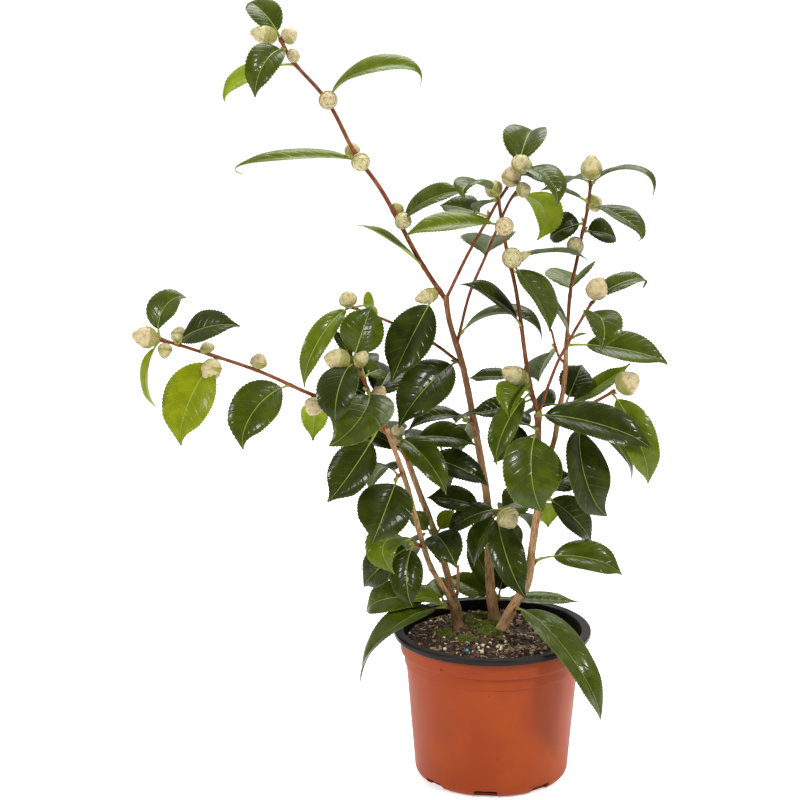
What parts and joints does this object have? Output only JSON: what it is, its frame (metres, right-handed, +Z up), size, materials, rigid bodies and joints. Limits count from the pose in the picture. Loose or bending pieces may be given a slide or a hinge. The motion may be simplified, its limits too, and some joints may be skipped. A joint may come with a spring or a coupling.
{
  "type": "potted camellia shrub",
  "caption": "Young evergreen camellia shrub with glossy toothed leaves and pale round flower buds on slim upright stems, in a round terracotta coloured plastic nursery pot.",
  "frame": {"origin": "centre of the pot's flat underside", "axes": "+Z up along the pot's axis, -Y towards the viewer of the picture, +X to the viewer's right"},
  "size_m": [0.3932, 0.1617, 0.5835],
  "materials": {
    "pot_plastic": "satin",
    "lip_plastic": "satin",
    "soil": "rough",
    "bark": "rough",
    "foliage": "glossy"
  },
  "bodies": {
    "root": {"pot": "pot_plastic", "pot_lip": "lip_plastic", "potting_soil": "soil", "left_trunk": "bark", "left_outer_bough": "bark", "left_inner_bough": "bark", "left_cut_stub": "bark", "centre_trunk": "bark", "right_trunk": "bark", "right_back_bough": "bark", "left_long_branch": "foliage", "left_cluster_shoot": "foliage", "left_hanging_leaves": "foliage", "left_lower_leaves": "foliage", "left_foot_leaves": "foliage", "inner_top_leaves": "foliage", "inner_low_leaves": "foliage", "leader_shoot": "foliage", "centre_front_shoot": "foliage", "centre_back_shoot": "foliage", "centre_left_shoot": "foliage", "centre_mid_leaves": "foliage", "centre_low_leaves": "foliage", "centre_foot_leaves": "foliage", "right_shoot": "foliage", "right_front_leaves": "foliage", "right_side_leaves": "foliage", "right_lower_leaf": "foliage", "right_foot_leaf": "foliage", "back_shoot": "foliage", "bud_shoot": "foliage", "thin_back_twig": "foliage", "back_mid_leaves": "foliage", "right_bud_shoot": "foliage"}
  },
  "joints": []
}
